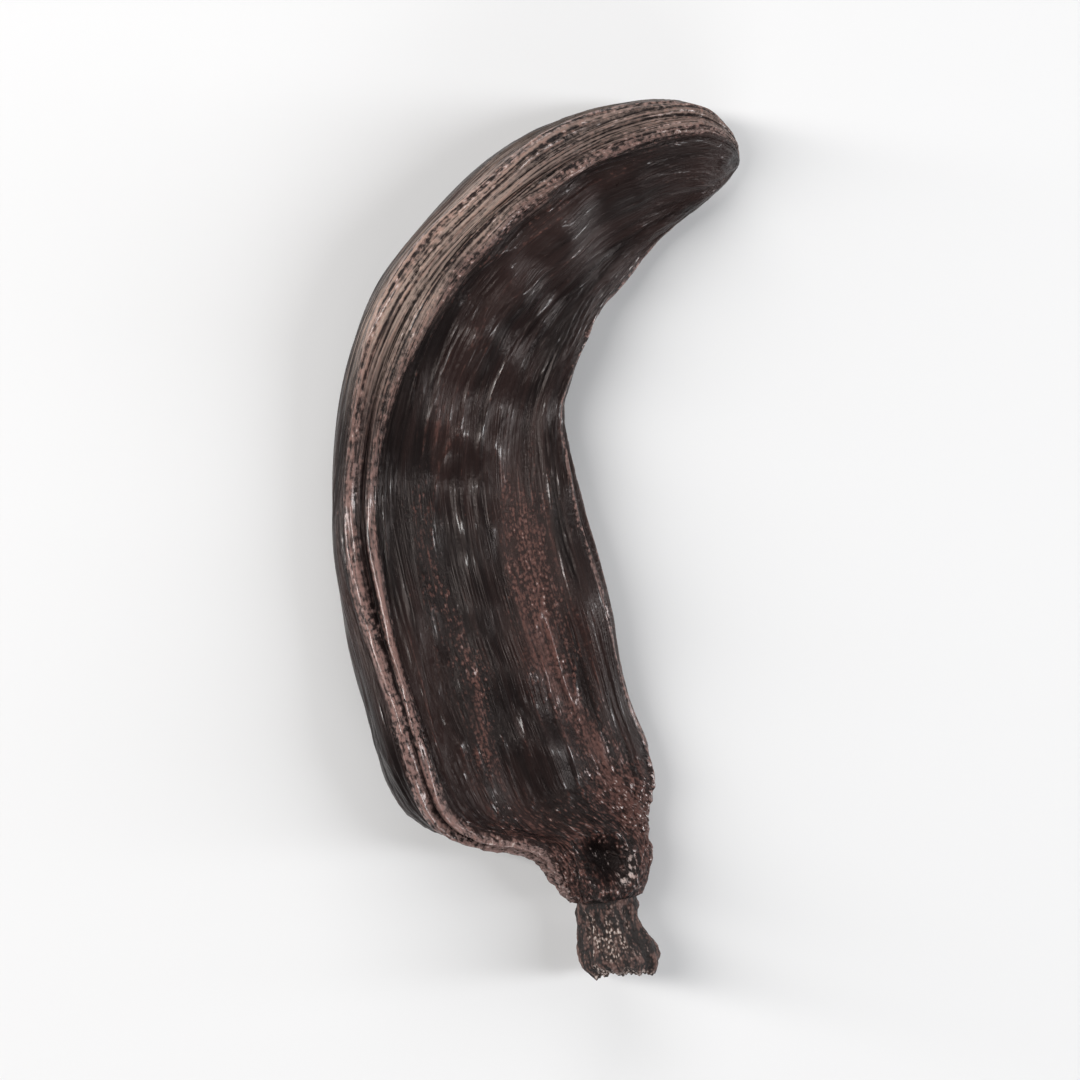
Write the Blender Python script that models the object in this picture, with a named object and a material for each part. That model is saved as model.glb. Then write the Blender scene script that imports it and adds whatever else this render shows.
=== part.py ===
"""A ripe carob pod with the stub of its stalk, as it lies on a table.

The pod grew as one body: two thick seams with a leathery face above and below, swollen over a row of seeds.
It is first shaped straight, as (along, across, thickness), and then bent, twisted and laid on z = 0.
Across is positive towards the outer seam, on the long side of the bend. Metres, +Z up.
"""

import math
import random

import bmesh
import bpy
import numpy as np
from mathutils import Matrix, Vector, noise

MM = 0.001

# Driving dimensions of the pod, in millimetres, degrees and shares of its length
POD_LENGTH = 107.0
HEADINGS = (
    (0.0, 7.0),
    (0.12, 15.0),
    (0.25, 19.5),
    (0.38, 18.0),
    (0.5, 9.0),
    (0.6, -11.0),
    (0.7, -32.0),
    (0.8, -49.0),
    (0.9, -71.0),
    (1.0, -103.0),
)
HALF_WIDTHS = (
    (0.0, 4.3),
    (0.013, 5.2),
    (0.035, 6.4),
    (0.06, 7.1),
    (0.078, 8.6),
    (0.098, 11.4),
    (0.122, 13.7),
    (0.165, 15.0),
    (0.28, 15.5),
    (0.43, 14.8),
    (0.57, 13.2),
    (0.70, 11.6),
    (0.80, 10.2),
    (0.88, 8.6),
    (0.94, 6.5),
    (0.975, 4.2),
    (0.992, 2.3),
    (1.0, 0.5),
)
SIDEWAYS = (
    (0.0, 0.0),
    (0.035, 0.2),
    (0.068, 1.5),
    (0.1, 4.3),
    (0.14, 6.1),
    (0.2, 6.7),
    (0.30, 6.0),
    (0.42, 4.6),
    (0.55, 2.9),
    (0.70, 1.4),
    (0.85, 0.3),
    (1.0, 0.0),
)
OUTER_SEAM_THICK = (
    (0.0, 4.6),
    (0.012, 5.2),
    (0.08, 5.6),
    (0.25, 6.4),
    (0.6, 6.2),
    (0.85, 5.3),
    (0.95, 4.0),
    (0.98, 2.6),
    (1.0, 0.5),
)
INNER_SEAM_THICK = (
    (0.0, 4.6),
    (0.012, 5.2),
    (0.08, 5.4),
    (0.25, 5.6),
    (0.6, 5.4),
    (0.85, 4.7),
    (0.95, 3.6),
    (0.98, 2.4),
    (1.0, 0.5),
)
FACE_THICK = (
    (0.0, 4.6),
    (0.012, 5.1),
    (0.08, 5.0),
    (0.25, 4.0),
    (0.6, 3.7),
    (0.85, 3.4),
    (0.95, 3.1),
    (0.98, 2.2),
    (1.0, 0.5),
)
ROUNDNESS = ((0.0, 1.0), (0.06, 0.75), (0.18, 0.12), (0.5, 0.0), (0.85, 0.12), (0.96, 0.6), (1.0, 1.0))
RIM_STARTS = 0.22
RIM_FULL = 0.74
FLAT_ACROSS = 0.8
FLAT_UP = 0.5

# How the pod lies: the roll lifts the outer seam, and the gap is under its lowest seam
ROLL = ((0.0, 10.0), (0.17, 12.0), (0.45, 0.0), (0.62, 12.0), (0.76, 23.0), (0.88, 28.0), (1.0, 30.0))
GAP = ((0.0, 1.6), (0.17, -0.8), (0.31, 0.7), (0.47, -1.0), (0.66, 0.8), (0.83, -0.45), (1.0, 2.6))
SEAM_CHANGE = 0.8

# Seeds, which swell both faces
SEED_COUNT = 9
SEED_FIRST = 0.19
SEED_LAST = 0.86
SEED_RISE = 1.25
SEED_HALF_LENGTH = 3.4
SEED_HALF_WIDTH = 5.8
SEED_LEAN = 0.35
SEED_ASTRAY = 1.3
SEED_UNLIKE = 0.3

# Seams: a groove between two ridges, the outer one broad at the hook. Both sit above the middle of the rim
OUTER_RIDGE = 0.95
OUTER_RIDGE_FROM_SEAM = ((0.0, 1.2), (0.3, 1.55), (0.5, 2.1), (0.68, 3.2), (0.85, 3.0), (1.0, 1.2))
OUTER_GROOVE = 0.95
OUTER_GROOVE_SHARE = 0.4
INNER_RIDGE = 0.35
INNER_RIDGE_FROM_SEAM = 1.4
INNER_GROOVE = 0.35
RIDGE_HALF_WIDTH = 0.85
GROOVE_HALF_WIDTH = 0.7
SEAM_WANDER = 0.6
SEAM_WANDER_LENGTH = 17.0
RIDGE_CHANGE = 0.8
RIDGE_CHANGE_LENGTH = 9.0
OUTER_SEAM_SHIFT = ((0.0, 0.0), (0.12, 3.6), (0.3, 5.8), (0.7, 6.0), (0.88, 3.6), (1.0, 0.0))
INNER_SEAM_SHIFT = ((0.0, 0.0), (0.12, 1.2), (0.3, 2.8), (0.6, 2.2), (0.85, 1.0), (1.0, 0.0))

# Channel inside each thick rim, placed by its share of the half width
CHANNEL = 0.85
CHANNEL_PLACE = 0.6
CHANNEL_HALF_WIDTH = 0.17
CHANNEL_WANDER = 0.08

# Dried skin: long slanting folds and slow lumps, full size where the pod is wide
FOLD = 1.0
FOLD_LENGTH = 19.0
FOLD_WIDTH = 4.6
FOLD_SLANT = 0.22
EDGE_FOLD_SHARE = 0.35
LUMP = 0.9
LUMP_SIZE = 13.0
SKIN_DEPTH = 9.0
FIELD_STEP = 31.7
FACE_SHARE = (0.5, 0.8)
FULL_HALF_WIDTH = 9.0
CALM_BASE = 0.08
CALM_TIP = 0.93
CALM_SHARE = 0.3

# Round hollow on the knob at the base, its lip in hollow radii
HOLLOW_ALONG = 4.8
HOLLOW_ACROSS = 0.1
HOLLOW_RADIUS = 2.5
HOLLOW_DEPTH = 1.6
HOLLOW_LIP = 0.35
HOLLOW_LIP_PLACE = 1.6
HOLLOW_LIP_HALF_WIDTH = 0.5

# Socket that the stalk grows out of, and the stalk
COLLAR_RADIUS_INSIDE = 3.9
SOCKET_DEPTH = 2.0
STALK_GAP = 0.3
STALK_LENGTH = 9.0
STALK_RADII = ((0.0, 3.5), (0.2, 3.5), (0.4, 3.7), (0.7, 4.2), (0.88, 4.5), (1.0, 3.7))
STALK_BEND = 1.4
STALK_FLUTES = 7
STALK_FLUTE = 0.06
STALK_OUTSIDE = (0.12, 0.3)
STALK_KNOTS = 0.2
STALK_KNOT_RISE = 3.0
STALK_TEAR = 0.8
STALK_TEAR_FROM = 0.5
STALK_TEAR_FINENESS = 2.0
PITH_RADIUS = 1.6
PITH_DEPTH = 0.7

# Fineness
STATIONS = 90
AROUND = 62
END_CLOSENESS = 0.045
SEAM_CLOSENESS = 0.42
OUTLINE_STEPS = 720
LINE_STEPS = 2000
STALK_RINGS = 14
STALK_AROUND = 28
SHARP_ANGLE = 60.0

POD_COLOUR = (0.030, 0.017, 0.014, 1.0)
POD_ROUGHNESS = 0.42
STALK_COLOUR = (0.115, 0.070, 0.048, 1.0)
STALK_ROUGHNESS = 0.8


def through(stations, places):
    """A smooth curve through (place, value) pairs that doesn't overshoot between them."""
    at, value = np.array(stations).T
    step = np.diff(at)
    slope = np.diff(value) / step
    lean = np.concatenate([slope[:1], np.zeros(len(slope) - 1), slope[-1:]])
    same_way = slope[:-1] * slope[1:] > 0
    both = np.where(same_way, slope[:-1] + slope[1:], 1.0)
    lean[1:-1] = np.where(same_way, 2 * slope[:-1] * slope[1:] / both, 0.0)
    i = np.clip(np.searchsorted(at, places, side="right") - 1, 0, len(step) - 1)
    t = (places - at[i]) / step[i]
    return (
        value[i] * (1 + 2 * t) * (1 - t) ** 2
        + value[i + 1] * (3 - 2 * t) * t**2
        + step[i] * (lean[i] * t * (1 - t) ** 2 - lean[i + 1] * (1 - t) * t**2)
    )


def bump(distance, half_width):
    """1 at no distance, falling smoothly to nothing."""
    return np.exp(-((distance / half_width) ** 2))


def ramp(value, low, high):
    """0 below low, 1 above high, smooth between."""
    t = np.clip((value - low) / (high - low), 0, 1)
    return t * t * (3 - 2 * t)


def rough(field, *coordinates):
    """Smooth noise of a numbered field at arrays of three coordinates, about -0.6 to 0.6."""
    arrays = np.broadcast_arrays(*coordinates)
    flat = np.stack([a.ravel() for a in arrays], axis=1) + [0.0, 0.0, FIELD_STEP * field]
    found = [noise.noise(Vector(row)) for row in flat]
    return np.array(found).reshape(arrays[0].shape)


def stations_along():
    """Places of the pod's rings, as shares of its length: closer together towards both ends."""
    even = np.linspace(0, 1, STATIONS)
    return even - END_CLOSENESS * np.sin(2 * np.pi * even) * (1 + even / 2)


def outline(u):
    """(across, thickness) round one section of the smooth pod, and the girth that each point is at."""
    turn = np.linspace(0, 2 * np.pi, OUTLINE_STEPS + 1)
    c, s = np.cos(turn), np.sin(turn)
    roundness = through(ROUNDNESS, u)
    face = through(FACE_THICK, u)
    thick = (
        face
        + (through(OUTER_SEAM_THICK, u) - face) * ramp(c, RIM_STARTS, RIM_FULL)
        + (through(INNER_SEAM_THICK, u) - face) * ramp(-c, RIM_STARTS, RIM_FULL)
    )
    across = through(HALF_WIDTHS, u) * np.sign(c) * np.abs(c) ** (FLAT_ACROSS + (1 - FLAT_ACROSS) * roundness)
    up = thick * np.sign(s) * np.abs(s) ** (FLAT_UP + (1 - FLAT_UP) * roundness)
    girth = np.concatenate([[0], np.cumsum(np.hypot(np.diff(across), np.diff(up)))])
    return across, up, girth


def smooth_pod(places, shares):
    """The smooth straight pod as a grid of points, with the girth from each point to the two seams."""
    points = np.zeros((len(places), len(shares), 3))
    from_outer = np.zeros(points.shape[:2])
    from_inner = np.zeros(points.shape[:2])
    near_outer = (1 + np.cos(2 * np.pi * shares)) / 2
    for i, u in enumerate(places):
        across, up, girth = outline(u)
        at = shares * girth[-1]
        shift = through(OUTER_SEAM_SHIFT, u) * near_outer - through(INNER_SEAM_SHIFT, u) * (1 - near_outer)
        shifted = (at + shift) % girth[-1]
        points[i, :, 0] = u * POD_LENGTH
        points[i, :, 1] = np.interp(shifted, girth, across)
        points[i, :, 2] = np.interp(shifted, girth, up)
        from_outer[i] = np.minimum(at, girth[-1] - at)
        from_inner[i] = np.abs(at - girth[-1] / 2)
    return points, from_outer, from_inner


def outward(points):
    """The unit normals of a grid of points that closes round its second direction."""
    along = np.gradient(points, axis=0)
    round_it = np.roll(points, -1, axis=1) - np.roll(points, 1, axis=1)
    normal = np.cross(round_it, along)
    return normal / np.linalg.norm(normal, axis=2, keepdims=True)


def seed_rise(along, across, up):
    """How far the row of seeds swells the faces."""
    draw = random.Random(7)
    rise = np.zeros(along.shape)
    for u in np.linspace(SEED_FIRST, SEED_LAST, SEED_COUNT):
        place = u * POD_LENGTH + draw.uniform(-SEED_ASTRAY, SEED_ASTRAY)
        aside = draw.uniform(-SEED_ASTRAY, SEED_ASTRAY)
        height = SEED_RISE * draw.uniform(1 - SEED_UNLIKE, 1 + SEED_UNLIKE)
        height *= min(1.0, through(HALF_WIDTHS, u) / FULL_HALF_WIDTH)
        side = draw.uniform(-SEED_UNLIKE, SEED_UNLIKE)
        lengthways = (along - place - SEED_LEAN * (across - aside)) / SEED_HALF_LENGTH
        sideways = (across - aside) / SEED_HALF_WIDTH
        rise += height * (1 + side * np.sign(up)) * np.exp(-(lengthways**2) - sideways**2)
    return rise


def seams(along, up, outer, inner):
    """How far the ridges and grooves of the two seams stand out."""
    apart = through(OUTER_RIDGE_FROM_SEAM, along / POD_LENGTH)
    change = 1 + RIDGE_CHANGE * rough(1, along / RIDGE_CHANGE_LENGTH, 0, np.sign(up))
    wander = SEAM_WANDER * rough(2, along / SEAM_WANDER_LENGTH, 0, 0)
    middle = np.abs(outer + wander * np.sign(up))
    skin = OUTER_RIDGE * change * bump(middle - apart, RIDGE_HALF_WIDTH)
    skin += INNER_RIDGE * change * bump(inner - INNER_RIDGE_FROM_SEAM, RIDGE_HALF_WIDTH)
    skin -= OUTER_GROOVE * bump(middle, OUTER_GROOVE_SHARE * apart)
    return skin - INNER_GROOVE * bump(inner, GROOVE_HALF_WIDTH)


def relief(points, from_outer, from_inner):
    """How far the skin stands out from the smooth pod, in millimetres."""
    along, across, up = points[..., 0], points[..., 1], points[..., 2]
    u = along / POD_LENGTH
    half_width = through(HALF_WIDTHS, u)
    size = np.minimum(1.0, half_width / FULL_HALF_WIDTH)
    on_face = 1 - ramp(np.abs(across) / half_width, *FACE_SHARE)

    skin = seams(along, up, from_outer / size, from_inner / size)
    wander = CHANNEL_WANDER * rough(3, along / SEAM_WANDER_LENGTH, np.sign(across), np.sign(up))
    skin -= CHANNEL * bump(np.abs(across) / half_width - CHANNEL_PLACE - wander, CHANNEL_HALF_WIDTH)
    skin += on_face * seed_rise(along, across, up)

    slanted = (across + FOLD_SLANT * along) / FOLD_WIDTH
    folds = rough(4, along / FOLD_LENGTH, slanted, up / SKIN_DEPTH)
    skin += FOLD * folds * (EDGE_FOLD_SHARE + (1 - EDGE_FOLD_SHARE) * on_face)
    skin += LUMP * rough(5, along / LUMP_SIZE, across / LUMP_SIZE, up / SKIN_DEPTH)
    calm = ramp(u, 0.0, CALM_BASE) * (1 - ramp(u, CALM_TIP, 1.0))
    skin = skin * size * (CALM_SHARE + (1 - CALM_SHARE) * calm)

    from_hollow = np.hypot(along - HOLLOW_ALONG, across - HOLLOW_ACROSS) / HOLLOW_RADIUS
    dip = HOLLOW_DEPTH * bump(from_hollow, 1.0)
    dip -= HOLLOW_LIP * bump(from_hollow - HOLLOW_LIP_PLACE, HOLLOW_LIP_HALF_WIDTH)
    return skin - dip * ramp(up, 0.0, HOLLOW_RADIUS)


def middle_line(places):
    """The pod's bent middle line on plan: positions and headings, 0 along +Y and positive to the left."""
    fine = np.linspace(0, 1, LINE_STEPS)
    heading = np.radians(through(HEADINGS, fine))
    step = POD_LENGTH / (LINE_STEPS - 1)
    x = np.cumsum(-np.sin(heading)) * step
    y = np.cumsum(np.cos(heading)) * step
    return np.interp(places, fine, x), np.interp(places, fine, y), np.interp(places, fine, heading)


def lift(places, roll):
    """Height of the middle line, which puts the lower of the two seams at the gap above the table."""
    heights = []
    for u, tilt in zip(places, roll):
        across, up, _ = outline(u)
        height = (across + through(SIDEWAYS, u)) * np.sin(tilt) + up * np.cos(tilt)
        outer = height[across >= 0].min()
        inner = height[across <= 0].min()
        lowest = -SEAM_CHANGE * np.logaddexp(-outer / SEAM_CHANGE, -inner / SEAM_CHANGE)
        heights.append(through(GAP, u) - lowest)
    return np.array(heights)


def section_frames(places):
    """For each place: the middle line's point and the directions along, across and through the thickness."""
    x, y, heading = middle_line(places)
    roll = np.radians(through(ROLL, places))
    z = lift(places, roll)
    zero = np.zeros(len(places))
    along = np.stack([-np.sin(heading), np.cos(heading), zero], axis=1)
    level = np.stack([-np.cos(heading), -np.sin(heading), zero], axis=1)
    above = np.array([0.0, 0.0, 1.0])
    c, s = np.cos(roll)[:, None], np.sin(roll)[:, None]
    return np.stack([x, y, z], axis=1), along, level * c + above * s, above * c - level * s


def bent(points, places):
    """The straight grid of points, bent along the middle line and laid on the table."""
    middle, along, across, through_it = section_frames(places)
    ahead = points[..., 0] - (places * POD_LENGTH)[:, None]
    aside = points[..., 1] + through(SIDEWAYS, places)[:, None]
    laid = (
        middle[:, None]
        + ahead[..., None] * along[:, None]
        + aside[..., None] * across[:, None]
        + points[..., 2:] * through_it[:, None]
    )
    laid[..., 2] = np.maximum(laid[..., 2], 0.0)
    return laid


def pod_rings():
    """The pod's skin as rings of points, from the collar to the beak."""
    places = stations_along()
    even = np.arange(AROUND) / AROUND
    shares = even - SEAM_CLOSENESS * np.sin(4 * np.pi * even) / (4 * np.pi)
    points, from_outer, from_inner = smooth_pod(places, shares)
    skin = relief(points, from_outer, from_inner)
    return bent(points + skin[..., None] * outward(points), places)


def socket_rings():
    """The rim and wall of the socket at the pod's base, as rings of points."""
    middle, along, across, through_it = (v[0] for v in section_frames(np.array([0.0])))
    turn = np.arange(AROUND) * 2 * np.pi / AROUND
    circle = np.cos(turn)[:, None] * across + np.sin(turn)[:, None] * through_it
    mouth = middle + circle * COLLAR_RADIUS_INSIDE
    return [mouth, mouth + along * SOCKET_DEPTH]


def skin_mesh(name, rings):
    """A closed mesh over rings of points, each end closed by a fan. Rings run from the inside out."""
    mesh = bpy.data.meshes.new(name)
    shape = bmesh.new()
    made = [[shape.verts.new(Vector(p) * MM) for p in ring] for ring in rings]
    for ring, further in zip(made, made[1:]):
        for i in range(len(ring)):
            j = (i + 1) % len(ring)
            shape.faces.new((ring[i], ring[j], further[j], further[i]))
    for ring in (made[0], made[-1]):
        tip = shape.verts.new(sum((v.co for v in ring), Vector()) / len(ring))
        for i in range(len(ring)):
            shape.faces.new((ring[i], ring[(i + 1) % len(ring)], tip))
    bmesh.ops.recalc_face_normals(shape, faces=shape.faces)
    shape.to_mesh(mesh)
    shape.free()
    mesh.shade_smooth()
    mesh.set_sharp_from_angle(angle=math.radians(SHARP_ANGLE))
    return mesh


def finish(name, colour, roughness):
    """A plain finish of one colour."""
    material = bpy.data.materials.new(name)
    material.use_nodes = True
    shader = material.node_tree.nodes["Principled BSDF"]
    shader.inputs["Base Color"].default_value = colour
    shader.inputs["Roughness"].default_value = roughness
    shader.inputs["Metallic"].default_value = 0.0
    return material


def add(name, mesh, material):
    """Puts a mesh in the scene as one named object."""
    made = bpy.data.objects.new(name, mesh)
    mesh.materials.append(material)
    bpy.context.scene.collection.objects.link(made)
    return made


def stalk_rings():
    """The stalk in its own frame, +Z out of the pod: root at the bottom, torn end at the top."""
    root = STALK_GAP - SOCKET_DEPTH
    turn = np.arange(STALK_AROUND) * 2 * np.pi / STALK_AROUND
    side, front = np.cos(turn), np.sin(turn)
    rings = []
    for t in np.linspace(0, 1, STALK_RINGS):
        flutes = STALK_FLUTE * np.cos(STALK_FLUTES * turn + t)
        knots = STALK_KNOTS * rough(6, side, front, STALK_KNOT_RISE * t)
        r = through(STALK_RADII, t) * (1 + ramp(t, *STALK_OUTSIDE) * (flutes + knots))
        tear = rough(7, STALK_TEAR_FINENESS * side, STALK_TEAR_FINENESS * front, 0)
        tear *= STALK_TEAR * ramp(t, STALK_TEAR_FROM, 1.0)
        height = root + (STALK_LENGTH - root) * t + tear
        rings.append(np.stack([r * side + STALK_BEND * t**2, r * front, height], axis=1))
    middle = rings[-1].mean(axis=0)
    pith = middle + (rings[-1] - middle) * PITH_RADIUS / STALK_RADII[-1][1]
    pith[:, 2] = middle[2] - PITH_DEPTH
    return [*rings, pith]


def build():
    """The pod and its stalk, centred over the origin."""
    for old in list(bpy.data.objects):
        bpy.data.objects.remove(old)
    pod_shape = skin_mesh("pod", [*reversed(socket_rings()), *pod_rings()])
    stalk_shape = skin_mesh("stalk", stalk_rings())
    pod = add("pod", pod_shape, finish("pod_skin", POD_COLOUR, POD_ROUGHNESS))
    stalk = add("stalk", stalk_shape, finish("stalk_wood", STALK_COLOUR, STALK_ROUGHNESS))

    middle, along, across, through_it = (Vector(v[0]) for v in section_frames(np.array([0.0])))
    turned = Matrix((-across, through_it, -along)).transposed().to_4x4()
    stalk.matrix_world = Matrix.Translation(middle * MM) @ turned

    corners = [o.matrix_world @ v.co for o in (pod, stalk) for v in o.data.vertices]
    low = Vector(map(min, zip(*corners)))
    high = Vector(map(max, zip(*corners)))
    shift = -(low + high) / 2
    for o in (pod, stalk):
        o.location.x += shift.x
        o.location.y += shift.y


build()
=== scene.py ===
import math
import random

import bpy
import numpy as np
from mathutils import Matrix, Vector, noise


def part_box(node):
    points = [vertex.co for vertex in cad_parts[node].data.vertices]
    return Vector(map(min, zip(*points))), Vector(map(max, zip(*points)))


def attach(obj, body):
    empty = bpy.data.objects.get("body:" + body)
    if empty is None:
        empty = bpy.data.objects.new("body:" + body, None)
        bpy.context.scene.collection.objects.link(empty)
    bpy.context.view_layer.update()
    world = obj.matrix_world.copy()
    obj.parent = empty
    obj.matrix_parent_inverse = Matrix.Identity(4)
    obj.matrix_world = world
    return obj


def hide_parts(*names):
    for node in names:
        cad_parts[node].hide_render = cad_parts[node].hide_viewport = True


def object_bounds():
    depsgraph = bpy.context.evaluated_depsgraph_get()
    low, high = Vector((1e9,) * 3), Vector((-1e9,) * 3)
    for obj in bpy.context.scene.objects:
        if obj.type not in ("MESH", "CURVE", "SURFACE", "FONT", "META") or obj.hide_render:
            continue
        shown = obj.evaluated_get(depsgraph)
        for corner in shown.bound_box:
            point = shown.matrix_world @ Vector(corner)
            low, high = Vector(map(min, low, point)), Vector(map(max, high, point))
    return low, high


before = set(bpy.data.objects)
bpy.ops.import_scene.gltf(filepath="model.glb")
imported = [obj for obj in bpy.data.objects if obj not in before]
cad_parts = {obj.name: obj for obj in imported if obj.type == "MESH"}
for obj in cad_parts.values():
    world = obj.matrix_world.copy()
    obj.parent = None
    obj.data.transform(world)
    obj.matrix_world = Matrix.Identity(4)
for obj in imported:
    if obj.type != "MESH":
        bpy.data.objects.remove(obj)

solid_low, solid_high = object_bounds()
MM = 0.001

# The pod. It grew as one leathery body: two thick seams, and between them two faces that swell over the
# seeds. It is shaped straight first, as (along, across, thickness) in millimetres with across positive
# towards the outer seam, and then bent, twisted and laid on the table as it dried.
POD_LENGTH = 107.0
HEADINGS = (
    (0.0, 7.0),
    (0.12, 15.0),
    (0.25, 19.5),
    (0.38, 18.0),
    (0.5, 9.0),
    (0.6, -11.0),
    (0.7, -32.0),
    (0.8, -49.0),
    (0.9, -71.0),
    (1.0, -103.0),
)
HALF_WIDTHS = (
    (0.0, 4.3),
    (0.013, 5.2),
    (0.035, 6.4),
    (0.06, 7.1),
    (0.078, 8.6),
    (0.098, 11.4),
    (0.122, 13.7),
    (0.165, 15.0),
    (0.28, 15.5),
    (0.43, 14.8),
    (0.57, 13.2),
    (0.70, 11.6),
    (0.80, 10.2),
    (0.88, 8.6),
    (0.94, 6.5),
    (0.975, 4.2),
    (0.992, 2.3),
    (1.0, 0.5),
)
SIDEWAYS = (
    (0.0, 0.0),
    (0.035, 0.2),
    (0.068, 1.5),
    (0.1, 4.3),
    (0.14, 6.1),
    (0.2, 6.7),
    (0.30, 6.0),
    (0.42, 4.6),
    (0.55, 2.9),
    (0.70, 1.4),
    (0.85, 0.3),
    (1.0, 0.0),
)
OUTER_SEAM_THICK = (
    (0.0, 4.6),
    (0.012, 5.2),
    (0.08, 5.6),
    (0.25, 6.4),
    (0.6, 6.2),
    (0.85, 5.3),
    (0.95, 4.0),
    (0.98, 2.6),
    (1.0, 0.5),
)
INNER_SEAM_THICK = (
    (0.0, 4.6),
    (0.012, 5.2),
    (0.08, 5.4),
    (0.25, 5.6),
    (0.6, 5.4),
    (0.85, 4.7),
    (0.95, 3.6),
    (0.98, 2.4),
    (1.0, 0.5),
)
FACE_THICK = (
    (0.0, 4.6),
    (0.012, 5.1),
    (0.08, 5.0),
    (0.25, 4.0),
    (0.6, 3.7),
    (0.85, 3.4),
    (0.95, 3.1),
    (0.98, 2.2),
    (1.0, 0.5),
)
ROUNDNESS = ((0.0, 1.0), (0.06, 0.75), (0.18, 0.12), (0.5, 0.0), (0.85, 0.12), (0.96, 0.6), (1.0, 1.0))
RIM_STARTS = 0.22
RIM_FULL = 0.74
FLAT_ACROSS = 0.8
FLAT_UP = 0.5

ROLL = ((0.0, 10.0), (0.17, 12.0), (0.45, 0.0), (0.62, 12.0), (0.76, 23.0), (0.88, 28.0), (1.0, 30.0))
GAP = ((0.0, 1.6), (0.17, -0.8), (0.31, 0.7), (0.47, -1.0), (0.66, 0.8), (0.83, -0.45), (1.0, 2.6))
SEAM_CHANGE = 0.8

STATIONS = 330
AROUND = 290
END_CLOSENESS = 0.045
SEAM_CLOSENESS = 0.42
OUTLINE_STEPS = 720
LINE_STEPS = 2000


def through(stations, places):
    """A smooth curve through (place, value) pairs that doesn't overshoot between them."""
    at, value = np.array(stations).T
    step = np.diff(at)
    slope = np.diff(value) / step
    lean = np.concatenate([slope[:1], np.zeros(len(slope) - 1), slope[-1:]])
    same_way = slope[:-1] * slope[1:] > 0
    both = np.where(same_way, slope[:-1] + slope[1:], 1.0)
    lean[1:-1] = np.where(same_way, 2 * slope[:-1] * slope[1:] / both, 0.0)
    i = np.clip(np.searchsorted(at, places, side="right") - 1, 0, len(step) - 1)
    t = (places - at[i]) / step[i]
    return (
        value[i] * (1 + 2 * t) * (1 - t) ** 2
        + value[i + 1] * (3 - 2 * t) * t**2
        + step[i] * (lean[i] * t * (1 - t) ** 2 - lean[i + 1] * (1 - t) * t**2)
    )


def bump(distance, half_width):
    """1 at no distance, falling smoothly to nothing."""
    return np.exp(-((distance / half_width) ** 2))


def ramp(value, low, high):
    """0 below low, 1 above high, smooth between."""
    t = np.clip((value - low) / (high - low), 0, 1)
    return t * t * (3 - 2 * t)


def outline(u):
    """(across, thickness) round one section of the smooth pod, and the girth that each point is at."""
    turn = np.linspace(0, 2 * np.pi, OUTLINE_STEPS + 1)
    c, s = np.cos(turn), np.sin(turn)
    roundness = through(ROUNDNESS, u)
    face = through(FACE_THICK, u)
    thick = (
        face
        + (through(OUTER_SEAM_THICK, u) - face) * ramp(c, RIM_STARTS, RIM_FULL)
        + (through(INNER_SEAM_THICK, u) - face) * ramp(-c, RIM_STARTS, RIM_FULL)
    )
    across = through(HALF_WIDTHS, u) * np.sign(c) * np.abs(c) ** (FLAT_ACROSS + (1 - FLAT_ACROSS) * roundness)
    up = thick * np.sign(s) * np.abs(s) ** (FLAT_UP + (1 - FLAT_UP) * roundness)
    girth = np.concatenate([[0], np.cumsum(np.hypot(np.diff(across), np.diff(up)))])
    return across, up, girth


# The two seams don't run along the middle of the rims. Both lie towards the upper face.
OUTER_SEAM_SHIFT = ((0.0, 0.0), (0.12, 4.4), (0.3, 6.8), (0.7, 6.5), (0.88, 3.8), (1.0, 0.0))
INNER_SEAM_SHIFT = ((0.0, 0.0), (0.12, 1.2), (0.3, 2.8), (0.6, 2.2), (0.85, 1.0), (1.0, 0.0))


def smooth_pod(places, shares):
    """The smooth straight pod as a grid of points, with the girth from each point to the two seams."""
    points = np.zeros((len(places), len(shares), 3))
    from_outer = np.zeros(points.shape[:2])
    from_inner = np.zeros(points.shape[:2])
    near_outer = (1 + np.cos(2 * np.pi * shares)) / 2
    for i, u in enumerate(places):
        across, up, girth = outline(u)
        at = shares * girth[-1]
        shift = through(OUTER_SEAM_SHIFT, u) * near_outer - through(INNER_SEAM_SHIFT, u) * (1 - near_outer)
        shifted = (at + shift) % girth[-1]
        points[i, :, 0] = u * POD_LENGTH
        points[i, :, 1] = np.interp(shifted, girth, across)
        points[i, :, 2] = np.interp(shifted, girth, up)
        from_outer[i] = np.minimum(at, girth[-1] - at)
        from_inner[i] = np.abs(at - girth[-1] / 2)
    return points, from_outer, from_inner


even = np.linspace(0, 1, STATIONS)
places = even - END_CLOSENESS * np.sin(2 * np.pi * even) * (1 + even / 2)
even = np.arange(AROUND) / AROUND
shares = even - SEAM_CLOSENESS * np.sin(4 * np.pi * even) / (4 * np.pi)
straight, from_outer, from_inner = smooth_pod(places, shares)
along, across, up = straight[..., 0], straight[..., 1], straight[..., 2]
share_along = along / POD_LENGTH
half_width = through(HALF_WIDTHS, share_along)
FULL_HALF_WIDTH = 9.0
size = np.minimum(1.0, half_width / FULL_HALF_WIDTH)

# The two seams, where the halves of the pod grew together. The outer one is a groove between two ridges,
# the inner one is finer, and a channel runs along the inside of each thick rim. Threads of tough fibre
# run beside both seams, as parallel lines that come and go.
FIELD_STEP = 31.7


def rough(field, *coordinates):
    """Smooth noise of a numbered field at arrays of three coordinates, about -0.6 to 0.6."""
    arrays = np.broadcast_arrays(*coordinates)
    flat = np.stack([a.ravel() for a in arrays], axis=1) + [0.0, 0.0, FIELD_STEP * field]
    found = [noise.noise(Vector(row)) for row in flat]
    return np.array(found).reshape(arrays[0].shape)


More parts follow.
